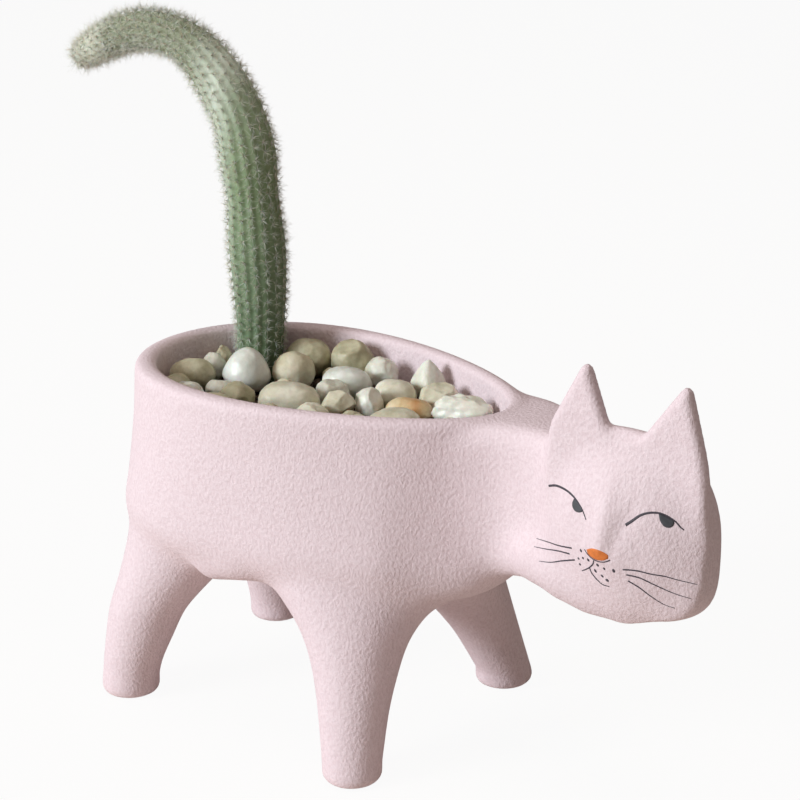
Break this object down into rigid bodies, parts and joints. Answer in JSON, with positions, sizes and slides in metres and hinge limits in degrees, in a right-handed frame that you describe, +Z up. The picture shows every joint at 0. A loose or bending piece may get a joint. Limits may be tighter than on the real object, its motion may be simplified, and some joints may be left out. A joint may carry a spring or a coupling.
{
  "type": "animal shaped planter",
  "caption": "Matte pink ceramic cat planter on four splayed legs, its flat head turned to the side, planted with a cactus that arches up and back as the tail and dressed with pebbles.",
  "frame": {"origin": "on the standing surface, under the middle of the overall bounding box", "axes": "+Z up; +X along the cat's body from tail to head, the longest extent; -Y the side that the face looks to"},
  "size_m": [0.241, 0.0912, 0.1931],
  "materials": {
    "pink_ceramic": "matte, fine stippled",
    "plug_rubber": "matte",
    "screen_plastic": "matte",
    "grit_stone": "rough",
    "soil": "rough, crumbly",
    "roots": "fibrous",
    "cactus_skin": "waxy, woolly with fine spines",
    "pebble_white": "tumbled, half gloss",
    "pebble_cream": "tumbled, half gloss",
    "pebble_tan": "tumbled, half gloss",
    "pebble_olive": "tumbled, half gloss"
  },
  "bodies": {
    "pot": {"cat_planter": "pink_ceramic", "drain_screen": "screen_plastic", "drainage_grit": "grit_stone"},
    "planting": {"potting_soil": "soil", "root_ball": "roots", "cactus_stem": "cactus_skin", "pebble_01": "pebble_olive", "pebble_02": "pebble_white", "pebble_03": "pebble_white", "pebble_04": "pebble_tan", "pebble_05": "pebble_tan", "pebble_06": "pebble_white", "pebble_07": "pebble_cream", "pebble_08": "pebble_olive", "pebble_09": "pebble_olive", "pebble_10": "pebble_cream", "pebble_11": "pebble_white", "pebble_12": "pebble_white", "pebble_13": "pebble_olive", "pebble_14": "pebble_tan", "pebble_15": "pebble_cream", "pebble_16": "pebble_white", "pebble_17": "pebble_cream", "pebble_18": "pebble_cream", "pebble_19": "pebble_white", "pebble_20": "pebble_olive", "pebble_21": "pebble_cream", "pebble_22": "pebble_tan", "pebble_23": "pebble_white", "pebble_24": "pebble_cream", "pebble_25": "pebble_tan", "pebble_26": "pebble_olive", "pebble_27": "pebble_cream", "pebble_28": "pebble_white", "pebble_29": "pebble_olive", "pebble_30": "pebble_tan", "pebble_31": "pebble_cream", "pebble_32": "pebble_cream", "pebble_33": "pebble_white", "pebble_34": "pebble_cream", "pebble_35": "pebble_olive", "pebble_36": "pebble_cream", "pebble_37": "pebble_tan", "pebble_38": "pebble_white", "pebble_39": "pebble_cream", "pebble_40": "pebble_tan", "pebble_41": "pebble_white", "pebble_42": "pebble_olive", "pebble_43": "pebble_cream"},
    "plug": {"drain_plug": "plug_rubber"}
  },
  "joints": [
    {"name": "planting_lift", "type": "slide", "parent": "pot", "child": "planting", "axis": [0, 0, 1], "range_m": [0, 0.06]},
    {"name": "plug_pull", "type": "slide", "parent": "pot", "child": "plug", "axis": [0, 0, -1], "range_m": [0, 0.02]}
  ]
}
